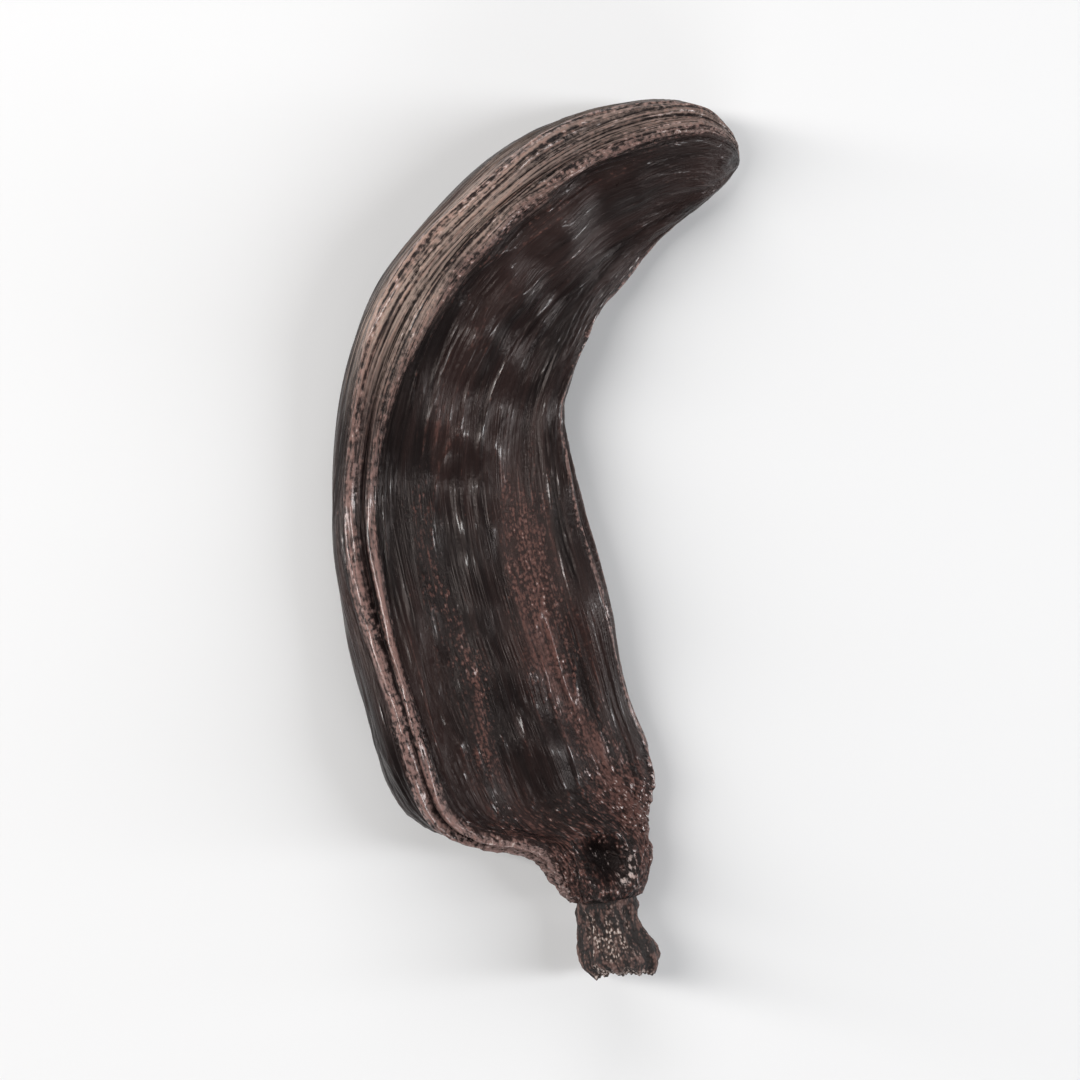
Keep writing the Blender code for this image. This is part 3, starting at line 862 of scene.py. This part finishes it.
root = STALK_GAP - SOCKET_DEPTH
stalk_rings, raised_bark, torn = [], [], []
for t in np.linspace(0, 1, STALK_RINGS):
    flutes = STALK_FLUTE * np.cos(STALK_FLUTES * turn + t)
    r = through(STALK_RADII, t) * (1 + ramp(t, *STALK_OUTSIDE) * (flutes + marks(KNOTS, t)))
    height = root + (STALK_LENGTH - root) * t + ramp(t, *TEAR_STARTS) * marks(TEAR, t)
    fray = marks(STRIP_FRAY, t)
    strip = ramp(STRIP_FRONT * front + STRIP_SIDE * side + fray + STRIP_ALONG * t, *STRIP_EDGE)
    strip *= ramp(t + STRIP_START_FRAY * fray, *STRIP_STARTS)
    lines, flakes, splinters = marks(BARK_LINES, t), marks(FLAKES, t), marks(SPLINTERS, t)
    bark = BARK_LINES_RISE * (lines - BARK_LINES_TOP) + FLAKES_RISE * (flakes - FLAKES_TOP)
    wood = SPLINTERS_RISE * (splinters - SPLINTERS_TOP) - STRIP_SUNK
    r = r + ramp(t, *STALK_OUTSIDE) * (bark * (1 - strip) + wood * strip)
    r = r + STALK_SHOULDER * bump(t - STALK_SHOULDER_PLACE, STALK_SHOULDER_HALF_WIDTH)
    jagged = JAGS_RISE * ramp(t, *JAGS_START) * (marks(JAGS, t) - JAGS_TOP)
    stalk_rings.append(np.stack([r * side + STALK_BEND * t**2, r * front, height + jagged], axis=1))
    raised_bark.append((lines + flakes) * (1 - strip) + splinters * strip)
    torn.append(np.maximum(strip, ramp(t, *TORN_END)))
edge = stalk_rings[-1]
edge_middle = edge.mean(axis=0)
for inward in np.linspace(0, 1, END_RINGS + 1)[1:-1]:
    ring = edge_middle + (edge - edge_middle) * (1 - inward)
    level = edge[:, 2] * (1 - inward) + edge_middle[2] * inward
    ends = sum(k * rough(field, ring[:, 0] * close, ring[:, 1] * close, 0) for field, close, k in END_FIBRES)
    sunk = PITH_DEPTH * ramp(inward, 0.0, 1 - PITH_RADIUS / STALK_RADII[-1][1])
    ring[:, 2] = level - sunk + END_FIBRES_RISE * ramp(inward, *END_FIBRES_START) * (ends - END_FIBRES_TOP)
    stalk_rings.append(ring)
    raised_bark.append(ends)
    torn.append(np.full(STALK_AROUND, 1.0))

to_table = np.stack([-base_aside, base_through, -base_ahead])
stalk_mesh = mesh_of("stalk_stub", [ring @ to_table + base_at + shift for ring in stalk_rings])
ends_of = [stalk_rings[0].mean(axis=0), stalk_rings[-1].mean(axis=0)]
note(stalk_mesh, "straight", np.concatenate([*stalk_rings, ends_of]), "FLOAT_VECTOR")
note(stalk_mesh, "raised", np.concatenate([*raised_bark, [0, 0]]))
note(stalk_mesh, "torn", np.concatenate([*torn, [0, 1]]))

# The stub's finish: dull brown bark, darker in its cracks and greyer on its flakes, and torn wood with
# grains of pale fibre.
BARK_DARK = (0.012, 0.0075, 0.0065, 1)
BARK_BROWN = (0.105, 0.055, 0.045, 1)
BARK_GREY = (0.2, 0.128, 0.11, 1)
FIBRE_PALE = (0.5, 0.42, 0.38, 1)
FIBRE_BROWN = (0.1, 0.055, 0.042, 1)
BARK_SIZE = (0.5, 0.5, 2.6)
FLECK_SIZE = (0.3, 0.3, 0.45)
WOOD_GRAIN_SIZE = (0.36, 0.36, 0.5)
BARK_RELIEF_DEPTH = 0.0003

stalk_finish, shader, wire = finish("stalk_wood", {"Specular IOR Level": 0.4})
places_on_stalk = wire.attribute("straight", give="Vector")
raised = wire.attribute("raised")
torn_here = wire.attribute("torn")
bark = places_on_stalk.grain(BARK_SIZE, detail=4, roughness=0.65)
flecks = places_on_stalk.grain(FLECK_SIZE)
dots = places_on_stalk.granules(WOOD_GRAIN_SIZE) - DOTS_MIDDLE
colour = (raised * 0.8 + (bark - 0.5) * 1.8 + dots * 0.6 + 0.3).between(0.1, 0.8).over(BARK_DARK, BARK_BROWN)
colour = (raised * 0.4 + bark + flecks + dots * 0.4).between(1.2, 1.6).over(colour, BARK_GREY)
mottle = raised * 0.4 + (flecks - 0.5) * 1.8 + (bark - 0.5) * 1.6 + dots
fibre = mottle.between(-0.5, 0.2).over(BARK_DARK, FIBRE_BROWN)
fibre = mottle.between(0.0, 0.6).over(fibre, FIBRE_PALE)
colour = torn_here.over(colour, fibre)
height = (bark - 0.5) * 0.8 + (flecks - 0.5) * 0.5 + dots * 0.3
dull = 0.66 + (bark - 0.5) * 0.3
feed(shader, base_color=colour, roughness=dull, normal=wire.relief(height, BARK_RELIEF_DEPTH))
place("stalk_stub", stalk_mesh, stalk_finish, "stalk")

# The table: a wide sheet of plain, pale, matt paper. The pod lies loose on it, on the small flat spots of
# its underside.
FLOOR_HALF = 3.0
FLOOR_PALE = (0.79, 0.79, 0.795, 1)
PAPER_SIZE = (0.004, 0.004, 0.004)
corners = [(-FLOOR_HALF, -FLOOR_HALF, 0), (FLOOR_HALF, -FLOOR_HALF, 0), (FLOOR_HALF, FLOOR_HALF, 0)]
corners.append((-FLOOR_HALF, FLOOR_HALF, 0))
floor_mesh = bpy.data.meshes.new("floor")
floor_mesh.from_pydata(corners, [], [(0, 1, 2, 3)])
floor_finish, shader, wire = finish("pale_paper", {"Base Color": FLOOR_PALE, "Specular IOR Level": 0.2})
paper = wire.make("ShaderNodeTexCoord", {}, {}, give="Object").grain(PAPER_SIZE, detail=3)
feed(shader, roughness=0.78 + paper * 0.08)
floor_mesh.materials.append(floor_finish)
floor = bpy.data.objects.new("floor", floor_mesh)
bpy.context.scene.collection.objects.link(floor)

# The studio: a long soft strip low on each side, which draws lines of light along the ridges, a box behind
# the tip and a weak one in front. Nothing hangs overhead, where it would only grey the dark skin. Each lamp
# has its name, place, width, height, watts and tint.
middle_of_pod = Vector((solid_low + solid_high) / 2)
LIGHTS = (
    ("left_strip", (-0.6, 0.12, 0.45), 0.13, 1.0, 6.2, (1.0, 0.985, 0.965)),
    ("right_strip", (0.62, 0.0, 0.34), 0.1, 1.0, 4.4, (0.97, 0.985, 1.0)),
    ("tip_box", (-0.12, 0.85, 0.5), 0.9, 0.35, 4.0, (1.0, 0.99, 0.98)),
    ("front_box", (0.1, -0.9, 0.5), 0.9, 0.35, 2.6, (1.0, 1.0, 1.0)),
)
for name, at, wide, high, power, tint in LIGHTS:
    lamp = bpy.data.lights.new(name, "AREA")
    lamp.shape, lamp.size, lamp.size_y, lamp.energy, lamp.color = "RECTANGLE", wide, high, power, tint
    stand = bpy.data.objects.new(name, lamp)
    stand.location = at
    stand.rotation_mode = "QUATERNION"
    stand.rotation_quaternion = (middle_of_pod - Vector(at)).to_track_quat("-Z", "Y")
    bpy.context.scene.collection.objects.link(stand)

SKY_STRENGTH = 0.1
SKY_TINT = (0.97, 0.98, 1.0, 1)
sky = bpy.data.worlds.new("studio")
sky.use_nodes = True
sky.node_tree.nodes["Background"].inputs["Color"].default_value = SKY_TINT
sky.node_tree.nodes["Background"].inputs["Strength"].default_value = SKY_STRENGTH
bpy.context.scene.world = sky
bpy.context.scene.view_settings.view_transform = "Standard"

# The camera: a long lens almost straight above the pod, a few degrees towards its outer seam, so that both
# ridges of the seam show.
CAMERA_TILT = math.radians(6)
CAMERA_LENS = 120.0
SENSOR = 36.0
NEAREST, FARTHEST = 0.01, 20.0
POD_SHARE_OF_FRAME = 0.82
lens = bpy.data.cameras.new("camera")
lens.lens, lens.sensor_width, lens.sensor_fit = CAMERA_LENS, SENSOR, "HORIZONTAL"
camera = bpy.data.objects.new("camera", lens)
seen_from = Vector((-math.sin(CAMERA_TILT), 0, math.cos(CAMERA_TILT)))
frame_side = (solid_high.y - solid_low.y) / POD_SHARE_OF_FRAME
camera.location = middle_of_pod + seen_from * frame_side * CAMERA_LENS / SENSOR
right = Vector((0, 1, 0)).cross(seen_from).normalized()
camera.rotation_mode = "QUATERNION"
camera.rotation_quaternion = Matrix((right, seen_from.cross(right), seen_from)).transposed().to_quaternion()
lens.clip_start, lens.clip_end = NEAREST, FARTHEST
bpy.context.scene.collection.objects.link(camera)
bpy.context.scene.camera = camera
